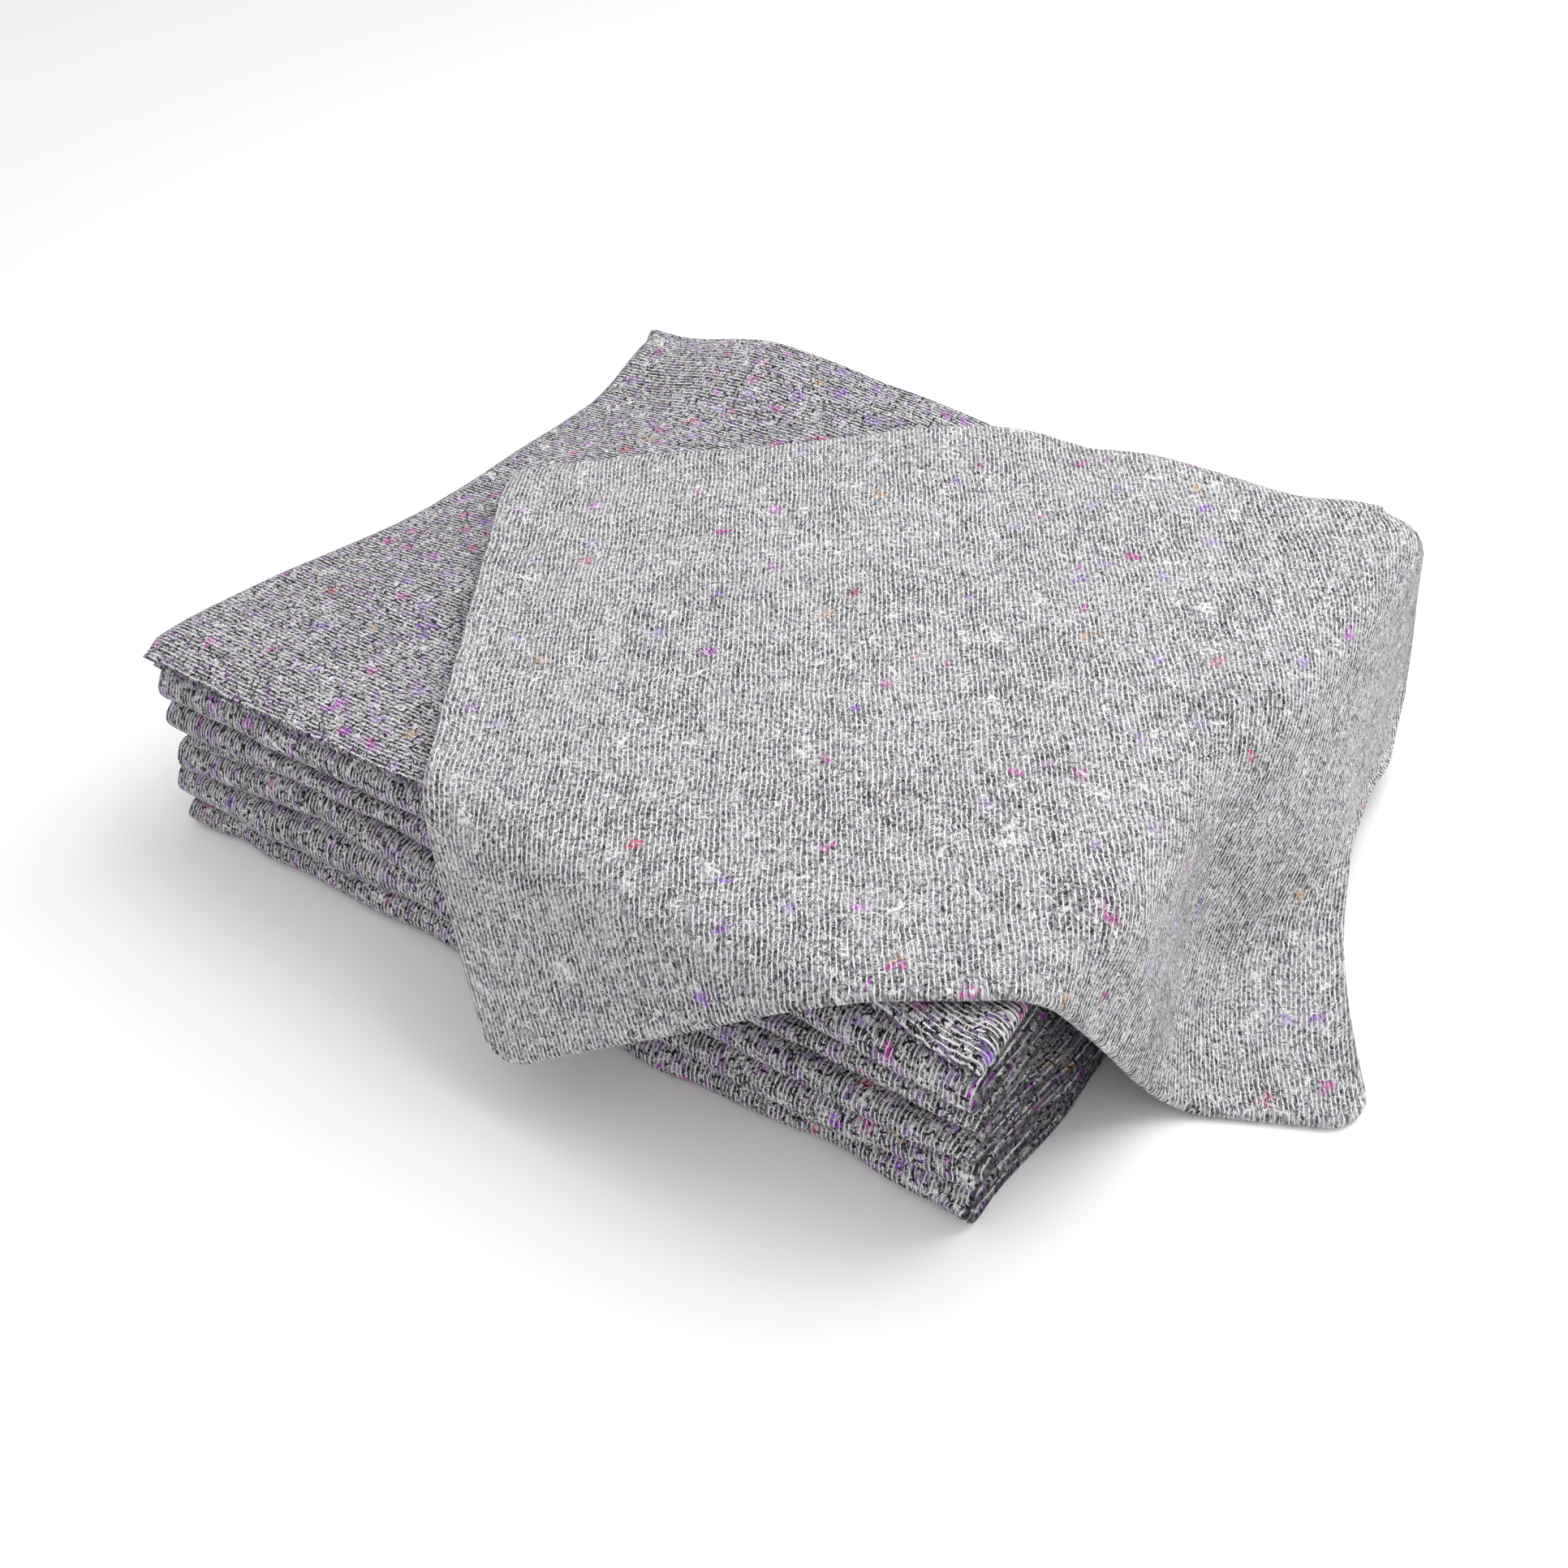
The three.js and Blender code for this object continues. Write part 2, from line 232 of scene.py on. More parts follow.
# Blankets 1 to 6, folded in half and in half again, from the floor up. A dent is a place
# along X, how far the front bead is drawn in there (or out, below 0) and its half width.
folded = {
    "slit": 0.6, "endStep": 6, "waveLength": 340,
    "layerLength": 490,                              # about, for the rims of the two inner ends
    "endUneven": 3.6, "endReach": 40, "endGrain": (60, 9),
    "depth": 500, "leanOver": 150,
    "lumps": 1.5, "lumpSpacing": 34,                 # small unevenness of the front beads
    "columns": 118, "topRows": 40, "hiddenRows": 16, "beadRows": 20, "turnRows": 8,
    "blankets": [
        {"left": -611, "right": -4, "lean": 9, "reach": -6, "wave": -3, "back": 502,
         "dents": [(-560, 3, 18), (-445, -3, 30), (-205, -3, 25), (-95, 3, 20)]},
        {"left": -616, "right": -1, "lean": 6, "reach": -7, "wave": 2, "back": 504,
         "dents": [(-530, -2, 30), (-400, 3, 22), (-60, 3, 16)]},
        {"left": -607, "right": -1, "lean": 5, "reach": -5, "wave": -1.5, "back": 507,
         "dents": [(-470, 3, 20), (-170, -2, 24), (-40, -2, 14)]},
        {"left": -595, "right": -7, "lean": 9, "reach": 2, "wave": 1, "back": 501,
         "dents": [(-420, 2, 26), (-120, 2, 20)]},
        {"left": -604, "right": 1, "lean": 1, "reach": -5, "wave": -2, "back": 506,
         "dents": [(-520, 2, 20), (-330, -2, 30), (-75, 2, 16)]},
        {"left": -599, "right": -1, "lean": 1, "reach": -5, "wave": 1.5, "back": 500,
         "dents": [(-500, -2, 24), (-370, 3, 26), (-110, 2, 18)]},
    ],
}


def foldedRows():                                    # (part of the section, share through it)
    rows = [("top", s) for s in evenSteps(0, 1, folded["topRows"])]
    rows += [("bead", s) for s in evenSteps(0, 1, folded["beadRows"])[1:-1]]
    rows += [("bottom", s) for s in evenSteps(0, 1, folded["topRows"])]
    rows += [("backTurn", s) for s in evenSteps(0, 1, folded["turnRows"])[1:-1]]
    rows += [("second", s) for s in evenSteps(0, 1, folded["hiddenRows"])]
    rows += [("innerTurn", s) for s in evenSteps(0, 1, folded["turnRows"])[1:-1]]
    rows += [("third", s) for s in evenSteps(0, 1, folded["hiddenRows"])]
    return rows


layerOf = {"top": 3, "bottom": 0, "second": 1, "third": 2}


def foldedPlace(level, blanket):
    slit, endStep = folded["slit"], folded["endStep"]
    lowMap, highMap = levelMaps[level], levelMaps[level + 1]
    lift = stack["seam"] / 2
    length = blanket["right"] - blanket["left"]

    def layerAt(x, y):
        low = readMap(lowMap, x, y) + (lift if level else 0)
        high = readMap(highMap, x, y) - lift
        return low, high, (high - low - 3 * slit) / 4

    def frontOf(x):
        wave = blanket["wave"] * math.sin(2 * math.pi * x / folded["waveLength"] + level)
        dents = sum(d * math.exp(-((x - at) / half) ** 2) for at, d, half in blanket["dents"])
        lump = noise.noise(Vector((x / folded["lumpSpacing"], level * 4.3, 7.7)))
        return blanket["reach"] + wave + dents + folded["lumps"] * lump

    def place(across, row):
        part, share = row
        x = blanket["left"] + across
        front = frontOf(x)
        low, high, thick = layerAt(x, front)
        start = front + (high - low) / 2
        foldEnd = blanket["back"] - thick - slit / 2
        low, high, thick = layerAt(x, start)
        middle, half = (low + high) / 2, (high - low) / 2
        if part in layerOf:
            ends = {"top": (blanket["back"] - endStep, start), "bottom": (start, foldEnd),
                    "second": (foldEnd, start), "third": (start, blanket["back"] - 2 * endStep)}
            y = mix(*ends[part], share)
            low, high, thick = layerAt(x, y)
            z = low + layerOf[part] * (thick + slit) + thick / 2
        elif part == "backTurn":
            low, high, thick = layerAt(x, foldEnd)
            rise = (thick + slit) / 2
            y = foldEnd + rise * math.sin(math.pi * share)
            z = low + thick + slit / 2 - rise * math.cos(math.pi * share)
        else:
            rise = half - thick / 2 if part == "bead" else (thick + slit) / 2
            side = 1 if part == "bead" else -1
            y = start - rise * math.sin(math.pi * share)
            z = middle + side * rise * math.cos(math.pi * share)
        thick *= rimShare(across) * rimShare(length - across)
        if part == "top":
            thick *= rimShare(share * folded["layerLength"])
        if part == "third":
            thick *= rimShare((1 - share) * folded["layerLength"])
        # the right end leans out towards the back, and both ends are uneven
        lean = blanket["lean"] * clamp(y / folded["depth"])
        lean *= smoothStep(x, -folded["leanOver"], 0)
        longGrain, highGrain = folded["endGrain"]
        key = Vector((y / longGrain, z / highGrain, level * 5.1))
        drawnIn = folded["endUneven"] * (0.5 + noise.noise(key))
        rightEnd = smoothStep(length - across, folded["endReach"], 0)
        leftEnd = smoothStep(across, folded["endReach"], 0)
        x += lean - drawnIn * rightEnd + drawnIn * leftEnd
        return (x, y, z), thick

    return place


def makeFolded(level, blanket):
    length = blanket["right"] - blanket["left"]
    across = withRims(0, length, folded["columns"])
    rows = foldedRows()
    place = foldedPlace(level, blanket)
    lengths = lengthsAlong(rows, lambda row: place(length / 2, row))
    return makeSheet(f"foldedCloth{level + 1}", across, rows, lengths, place)


# The two-layer blanket on top. Its fold stands open at the right.
topBlanket = {
    "layer": 4.1, "width": 500, "endStep": 6, "columns": 96, "rows": 118, "turnRows": 14,
    "layerLength": 600,                              # about, for the rims of its two ends
    "foldGap": 0.6,                                  # between its layers at the closed front
    "sideY": [0, 20, 100, 240, 395, 480, 500],
    "left": [-604, -612, -606, -590, -589, -597, -606],
    "right": [-1, -1, -5, -7, -7, -7, -7],
    "edgeX": [-582, -480, -380, -300, -240, -150, -70, -12],
    "front": [-2.5, -3.5, -1.5, 9, 12, 12, 6, -2.5],
    "back": [497, 498, 496, 488, 482, 482, 482, 482],
    "lowerEdge": 2.5, "lowerGrain": 90,              # how far the lower layer's edge strays
    "lowerReach": 60,
    "closing": 34,                                   # its open fold closes over this depth in front
}


def topRows():
    rows = [("upper", s) for s in evenSteps(0, 1, topBlanket["rows"])]
    rows += [("turn", s) for s in evenSteps(0, 1, topBlanket["turnRows"])[1:-1]]
    rows += [("lower", s) for s in evenSteps(0, 1, topBlanket["rows"])]
    return rows


def topPlace(across, row):
    part, share = row
    width, layer, foldGap = topBlanket["width"], topBlanket["layer"], topBlanket["foldGap"]
    y = across
    left = smoothLine(topBlanket["sideY"], topBlanket["left"], y)
    right = smoothLine(topBlanket["sideY"], topBlanket["right"], y)
    floorEnd = readMap(levelMaps[6], right, y) + stack["seam"] / 2
    puff = math.sqrt(1 - clamp(1 - across / topBlanket["closing"]) ** 2)
    half = mix(layer + foldGap / 2, (readMap(levelMaps[7], right, y) - floorEnd) / 2, puff)
    start = right - half
    radius = half - layer / 2
    if part == "upper":
        x = mix(left, start, share)
    elif part == "lower":
        x = mix(start, left + topBlanket["endStep"], share)
    else:
        x = start + radius * math.sin(math.pi * share)
    front = smoothLine(topBlanket["edgeX"], topBlanket["front"], x)
    back = smoothLine(topBlanket["edgeX"], topBlanket["back"], x)
    y = mix(front, back, across / width)
    if part == "lower":
        key = Vector((x / topBlanket["lowerGrain"], 4.2, 0))
        stray = topBlanket["lowerEdge"] * noise.noise(key)
        y += (stray + 1) * smoothStep(across, topBlanket["lowerReach"], 0)
    if part == "upper":
        low = readMap(levelMaps[6], x, y) + stack["seam"] / 2
        high = max(readMap(levelMaps[7], x, y), low + 2 * layer)
        z = mix(low + 2 * layer + foldGap, high, puff) - layer / 2
    elif part == "lower":
        z = readMap(levelMaps[6], x, y) + (stack["seam"] + layer) / 2
    else:
        z = floorEnd + half + radius * math.cos(math.pi * share)
    thick = layer * rimShare(across) * rimShare(width - across)
    if part == "upper":
        thick *= rimShare(share * topBlanket["layerLength"])
    if part == "lower":
        thick *= rimShare((1 - share) * topBlanket["layerLength"])
    return (x, y, z), thick


def makeTop():
    across = withRims(0, topBlanket["width"], topBlanket["columns"])
    rows = topRows()
    lengths = lengthsAlong(rows, lambda row: topPlace(topBlanket["width"] / 2, row))
    return makeSheet("topCloth", across, rows, lengths, topPlace)


# The draped blanket, laid out flat from its back left corner and rolled over three edges
drape = {
    "cornerX": -556, "cornerY": 283, "turn": math.radians(-54.8),
    "length": 520, "width": 599, "layer": 3.0, "slit": 0.5,
    "clearance": 1.9, "bridging": 15,
    "columns": 150, "rows": 130, "lowerRows": 60, "turnRows": 10,
    "hemStep": 6,                                    # the lower layer ends this much sooner
    "frontBend": 7, "frontRadius": 34, "frontSteepness": 1.12,
    "frontSpread": 12, "spreadOver": 90,
    "backBend": 493, "backRadius": 20, "backSteepness": 1.4, "floorRadius": 40,
    "sideY": [60, 200, 340, 420, 500],               # the bend over the right side, front to back
    "sideBend": [-13, -20, -16, -9, -6],
    "sideRadius": [26, 33, 31, 26, 20],
    "sideSteepness": [1.36, 1.47, 1.26, 1.42, 1.53],
    "flareLength": [90, 134, 175, 218, 262, 300, 340, 420, 520],
    "flare": [-4, -36, 8, 82, 66, 24, 0, -5, 1],     # the right edge bows out by this
    "flareStart": 400,
    "drift": 33, "driftOver": 216,
    "blunt": 26,                                     # the front corners are rounded off
    "waves": 1.0, "waveSpacing": 75, "shallowest": -0.4,
    "troughFade": (15, 60),                          # no trough reaches the floor
    "measuredAt": 250,                               # its length is measured along this line
    "folds": [                                       # from, to (length, across), half width, height
        (430, 300, 500, 455, 30, 6.0),
        (345, 430, 420, 470, 34, -7.0),
        (300, 500, 360, 560, 40, 2.5),
        (40, 2, 350, 2, 16, 4.5),
    ],
}
drapeThickness = 2 * drape["layer"] + drape["slit"]


def bridgedTop():                                    # the stack's top with small hollows bridged
    top, cell = levelMaps[7], stack["cell"]
    reach = int(drape["bridging"] / cell)
    window = range(-reach, reach + 1)
    columns, rows = mapSteps["x"], mapSteps["y"]
    xEnd = int((drape["sideBend"][-1] - mapStart["x"]) / cell)
    yFront = int((drape["frontBend"] - mapStart["y"]) / cell) + 1
    yBack = int((drape["backBend"] - mapStart["y"]) / cell)

    def over(grid, i, j, join):
        return join([grid[min(max(i + a, 0), xEnd)][min(max(j + b, yFront), yBack)]
                     for a in window for b in window])

    high = [[over(top, i, j, max) for j in range(rows)] for i in range(columns)]
    return [[over(high, i, j, lambda v: sum(v) / len(v)) for j in range(rows)]
            for i in range(columns)]


def hang(length, drop, steepness, bendRadius):
    floorRadius = drape["floorRadius"]
    sine, cosine = math.sin(steepness), math.cos(steepness)
    bend = clamp(length, 0, bendRadius * steepness)
    fallLength = max((drop - (bendRadius + floorRadius) * (1 - cosine)) / sine, 0)
    fall = clamp(length - bendRadius * steepness, 0, fallLength)
    foot = clamp(length - bendRadius * steepness - fallLength, 0, floorRadius * steepness)
    flat = max(length - bend - fallLength - floorRadius * steepness, 0)
    footAngle = steepness - foot / floorRadius
    out = (bendRadius * math.sin(bend / bendRadius) + fall * cosine
           + floorRadius * (sine - math.sin(footAngle)) + (flat if foot > 0 else 0))
    down = (bendRadius * (1 - math.cos(bend / bendRadius)) + fall * sine
            + floorRadius * (math.cos(footAngle) - cosine))
    return out, down


def flaredAcross(across, length):
    flare = smoothLine(drape["flareLength"], drape["flare"], length)
    return across + flare * smoothStep(across, drape["flareStart"], drape["width"])


def drapeSurface(length, across):
    sine, cosine = math.sin(drape["turn"]), math.cos(drape["turn"])
    wide = flaredAcross(across, length)
    x = drape["cornerX"] + length * cosine - wide * sine
    y = drape["cornerY"] + length * sine + wide * cosine
    bend = smoothLine(drape["sideY"], drape["sideBend"], y)
    radius = smoothLine(drape["sideY"], drape["sideRadius"], y)
    steepness = smoothLine(drape["sideY"], drape["sideSteepness"], y)
    drop = readMap(drapeMap, min(x, bend), clamp(y, drape["frontBend"], drape["backBend"]))
    drop += drape["clearance"]
    rightOut, rightDown = hang(max(x - bend, 0), drop, steepness, radius)
    frontOut, frontDown = hang(max(drape["frontBend"] - y, 0), drop, drape["frontSteepness"],
                               drape["frontRadius"])
    backOut, backDown = hang(max(y - drape["backBend"], 0), drop, drape["backSteepness"],
                             drape["backRadius"])
    drift = max((x - bend) / drape["driftOver"], 0) ** 1.5
    return Vector((
        min(x, bend) + rightOut - drape["frontSpread"] * math.sin(frontDown / drape["spreadOver"]),
        clamp(y, drape["frontBend"], drape["backBend"]) - frontOut + backOut
        - drape["drift"] * drift,
        drop + drapeThickness - rightDown - frontDown - backDown,
    ))


def foldRelief(length, across):                      # soft ridges and troughs, and slow waves
    spot = Vector((length, across))
    relief = 0
    for fromLength, fromAcross, toLength, toAcross, half, height in drape["folds"]:
        start = Vector((fromLength, fromAcross))
        run = Vector((toLength, toAcross)) - start
        share = (spot - start).dot(run) / run.length_squared
        aside = (spot - start - run * clamp(share)).length
        relief += height * math.exp(-(aside / half) ** 2)
    wave = noise.noise(Vector((length, across, 0)) / drape["waveSpacing"])
    return relief + drape["waves"] * max(wave, drape["shallowest"])


def drapePoint(length, across, depth):
    step = 3
    along = drapeSurface(length + step, across) - drapeSurface(length - step, across)
    sideways = drapeSurface(length, across + step) - drapeSurface(length, across - step)
    away = along.cross(sideways).normalized()
    point = drapeSurface(length, across)
    relief = foldRelief(length, across)
    if relief < 0:
        relief *= smoothStep(point.z, *drape["troughFade"])
    point += away * (relief - depth)
    point.z = max(point.z, drape["layer"] / 2)
    return point


def cornerCut(across):                               # how much shorter the cloth is at a corner
    blunt = drape["blunt"]
    inside = min(across, drape["width"] - across)
    return blunt - math.sqrt(blunt ** 2 - max(blunt - inside, 0) ** 2)


def drapeRows():
    rows = [("upper", s) for s in evenSteps(0, 1, drape["rows"])]
    rows += [("turn", s) for s in evenSteps(0, 1, drape["turnRows"])[1:-1]]
    rows += [("lower", s) for s in evenSteps(0, 1, drape["lowerRows"])]
    return rows


def drapePlace(across, row):
    part, share = row
    layer = drape["layer"]
    start = drape["length"] - drapeThickness / 2 - cornerCut(across)
    radius = (layer + drape["slit"]) / 2
    thick = layer * rimShare(across) * rimShare(drape["width"] - across)
    if part == "upper":
        return drapePoint(start * share, across, layer / 2), thick * rimShare(start * share)
    if part == "lower":
        length = mix(start, drape["hemStep"], share)
        depth = drapeThickness - layer / 2
        return drapePoint(length, across, depth), thick * rimShare(start * (1 - share))
    angle = math.pi * share
    depth = drapeThickness / 2 - radius * math.cos(angle)
    return drapePoint(start + radius * math.sin(angle), across, depth), thick


def makeDrape():
    across = withRims(0, drape["width"], drape["columns"])
    rows = drapeRows()
    lengths = lengthsAlong(rows, lambda row: drapePlace(drape["measuredAt"], row))
    end = drape["length"]

    def widthAt(across, length):                     # the rows of stitches stay straight
        return flaredAcross(across, min(length, 2 * end - length))

    return makeSheet("drapedCloth", across, rows, lengths, drapePlace, widthAt)


drapeMap = bridgedTop()


# Nodes: a socket or a value goes into each named or numbered input
def addNode(tree, kind, inputs=None, **settings):
    made = tree.nodes.new(kind)
    for key, value in settings.items():
        setattr(made, key, value)
    for key, value in (inputs or {}).items():
        if isinstance(value, bpy.types.NodeSocket):
            tree.links.new(value, made.inputs[key])
        else:
            made.inputs[key].default_value = value
    return made


def maths(tree, operation, a, b=0.0, c=0.0):
    inputs = {0: a, 1: b, 2: c}
    return addNode(tree, "ShaderNodeMath", inputs, operation=operation).outputs[0]


def ranged(tree, value, low, high, toLow=0.0, toHigh=1.0, smooth=True):
    inputs = {"Value": value, "From Min": low, "From Max": high, "To Min": toLow, "To Max": toHigh}
    kind = "SMOOTHSTEP" if smooth else "LINEAR"
    return addNode(tree, "ShaderNodeMapRange", inputs, interpolation_type=kind).outputs[0]


def grain(tree, vector, scale, detail=2.0, roughness=0.5, distortion=0.0):
    inputs = {"Vector": vector, "Scale": scale, "Detail": detail, "Roughness": roughness,
              "Distortion": distortion}
    return addNode(tree, "ShaderNodeTexNoise", inputs, noise_dimensions="2D").outputs["Fac"]


def blendColour(tree, share, a, b):
    made = addNode(tree, "ShaderNodeMix", data_type="RGBA", blend_type="MIX")
    for index, value in ((0, share), (6, a), (7, b)):
        if isinstance(value, bpy.types.NodeSocket):
            tree.links.new(value, made.inputs[index])
        else:
            made.inputs[index].default_value = value
    return made.outputs[2]


def vectorOf(tree, x, y, z=0.0):
    return addNode(tree, "ShaderNodeCombineXYZ", {0: x, 1: y, 2: z}).outputs[0]


felt = {
    "pitch": 2.86, "stitch": 2.9,                    # spacing of the stitch rows and stitches
    "wander": 2.8, "wanderScale": 0.03,              # how far the threads stray slowly
    "jitter": 1.1, "jitterScale": 0.25,              # and quickly
    "rowThread": (0.12, 0.24),                       # a thread fades between these, in rows
    "barThread": (0.06, 0.20),
    "barSlant": 0.5, "barJitter": 2.2,
    "holeEdge": (0.22, 0.40),
    "threadCover": 0.9, "threadHeight": 0.6, "clumpHeight": 0.45,
    "dark": (0.008, 0.008, 0.011, 1), "light": (0.42, 0.415, 0.435, 1),
    "thread": (0.93, 0.925, 0.93, 1), "lint": (0.80, 0.79, 0.80, 1),
    "tint": (0.20, 0.085, 0.31, 1),
    "shares": [("clumps", 0.54), ("fine", 0.34), ("patches", 0.32), ("slow", 0.16)],
    "brightest": 0.95,
    "fleckSpacing": 17, "fleckStray": 7, "fleckScales": (0.13, 0.16),
    "fleckSize": (0.10, 0.36), "fleckCover": 0.95, "fleckWear": 0.55,
    "fleckHues": [                                   # share of the flecks at which a hue starts
        (0.0, (0.56, 0.016, 0.36, 1)), (0.28, (0.27, 0.05, 0.56, 1)),
        (0.50, (0.40, 0.26, 0.66, 1)), (0.68, (0.62, 0.02, 0.12, 1)),
        (0.74, (0.48, 0.03, 0.56, 1)), (0.94, (0.62, 0.34, 0.13, 1)),
    ],
    "tufts": (0.984, 0.988),                         # shares of the cells that are white tufts
    "wisps": [(0.045, 0.020), (0.12, 0.034)],        # scale and width of loose fibres
    "wispCover": 0.8,
    "endShadeSpan": (0.3, 1.3),                            # painted shade on a cut end fades over this
}

# Layers of noise: scale per mm, octaves, roughness, the two values of the noise between
# which the layer rises, and the layer's least and most
feltLayers = {
    "sunk": (1, 1, 0.5, 0.30, 0.50, 0.42, 1),        # rows sink into the felt
    "shown": (0.17, 1, 0.5, 0.44, 0.60, 0.05, 0.75), # bars between the rows
    "openHole": (0.21, 0, 0.5, 0.40, 0.58, 0, 0.85),
    "fine": (0.85, 1, 0.5, 0.36, 0.62, 0, 1),
    "clumps": (0.36, 2, 0.6, 0.38, 0.60, 0, 1),
    "patches": (0.06, 2, 0.65, 0.38, 0.62, 0, 1),
    "slow": (0.016, 0, 0.5, 0.32, 0.68, 0, 1),
    "tint": (0.09, 2, 0.75, 0.50, 0.64, 0, 1),
    "broken": (0.5, 2, 0.65, 0.42, 0.54, 0, 1),
    "fuzz": (0.14, 3, 0.7, 0.50, 0.70, 0, 0.30),
    "speck": (0.34, 2, 0.65, 0.575, 0.635, 0, 1),
}


def layerOfNoise(tree, name, place):
    scale, octaves, roughness, low, high, least, most = feltLayers[name]
    return ranged(tree, grain(tree, place, scale, octaves, roughness), low, high, least, most)


def offCentre(tree, value):                          # distance from the middle of a cell
    return maths(tree, "ABSOLUTE", maths(tree, "SUBTRACT", value, 0.5))


def stitchRows(tree, u, v, place, seed):             # what the stitching is drawn from
    stray = maths(tree, "SUBTRACT", grain(tree, place, felt["wanderScale"], 0), 0.5)
    quick = maths(tree, "SUBTRACT", grain(tree, place, felt["jitterScale"], 0), 0.5)
    strayed = maths(tree, "MULTIPLY_ADD", stray, felt["wander"], u)
    strayed = maths(tree, "MULTIPLY_ADD", quick, felt["jitter"], strayed)
    turns = maths(tree, "DIVIDE", strayed, felt["pitch"])
    row = maths(tree, "FLOOR", turns)
    inRow = maths(tree, "FRACT", turns)
    chance = addNode(tree, "ShaderNodeTexWhiteNoise", {"W": maths(tree, "ADD", row, seed)},
                     noise_dimensions="1D").outputs["Value"]
    stitches = maths(tree, "MULTIPLY_ADD", v, 1 / felt["stitch"], chance)
    return row, inRow, stitches, quick


def threadsAndHoles(tree, u, v, place, seed):
    row, inRow, stitches, quick = stitchRows(tree, u, v, place, seed)

    # rows of chain stitch, which stray and sink into the felt in places
    aside = offCentre(tree, inRow)
    inStitch = offCentre(tree, maths(tree, "FRACT", stitches))
    narrow = maths(tree, "MULTIPLY_ADD", inStitch, 0.10, aside)
    line = ranged(tree, narrow, *felt["rowThread"], 1, 0)
    alongRow = vectorOf(tree, maths(tree, "MULTIPLY", row, 9.3),
                        maths(tree, "MULTIPLY_ADD", v, 0.13, seed))
    line = maths(tree, "MULTIPLY", line, layerOfNoise(tree, "sunk", alongRow))

    # bars of thread between the rows, with a dark hole between each two
    slant = maths(tree, "MULTIPLY_ADD", inRow, felt["barSlant"], stitches)
    slant = maths(tree, "MULTIPLY_ADD", quick, felt["barJitter"], slant)
    bars = offCentre(tree, maths(tree, "FRACT", slant))
    bar = ranged(tree, bars, *felt["barThread"], 1, 0)
    bar = maths(tree, "MULTIPLY", bar, layerOfNoise(tree, "shown", place))
    hole = maths(tree, "MULTIPLY", ranged(tree, bars, *felt["holeEdge"]),
                 ranged(tree, aside, *felt["holeEdge"]))
    hole = maths(tree, "MULTIPLY", hole, layerOfNoise(tree, "openHole", place))
    return maths(tree, "MAXIMUM", line, bar), hole


def fleckCells(tree, place):                         # ragged cells of recycled fibre
    alongScale, asideScale = felt["fleckScales"]
    push = vectorOf(tree, grain(tree, place, alongScale, 2), grain(tree, place, asideScale, 2))
    push = addNode(tree, "ShaderNodeVectorMath", {0: push, "Scale": 2 * felt["fleckStray"]},
                   operation="SCALE").outputs[0]
    pushed = addNode(tree, "ShaderNodeVectorMath", {0: place, 1: push}, operation="ADD").outputs[0]
    cells = addNode(tree, "ShaderNodeTexVoronoi",
                    {"Vector": pushed, "Scale": 1 / felt["fleckSpacing"]}, voronoi_dimensions="2D")
    picked = addNode(tree, "ShaderNodeSeparateColor", {0: cells.outputs["Color"]}).outputs
    near = ranged(tree, cells.outputs["Distance"], *felt["fleckSize"], 1, 0)
    return picked, near


def fleckColour(tree, chance):
    hues = addNode(tree, "ShaderNodeValToRGB", {0: chance})
    hues.color_ramp.interpolation = "CONSTANT"
    ramp = hues.color_ramp.elements
    ramp.remove(ramp[1])
    ramp[0].color = felt["fleckHues"][0][1]
    for at, hue in felt["fleckHues"][1:]:
        ramp.new(at).color = hue
    return hues.outputs[0]


def looseWisps(tree, place):
    wisps = []
    for scale, width in felt["wisps"]:
        hair = offCentre(tree, grain(tree, place, scale, 2, 0.5, 1.0))
        hair = ranged(tree, hair, width * 0.2, width, 1, 0)
        here = ranged(tree, grain(tree, place, scale * 1.3, 0), 0.55, 0.66)
        wisps.append(maths(tree, "MULTIPLY", hair, here))
    return maths(tree, "MAXIMUM", *wisps)


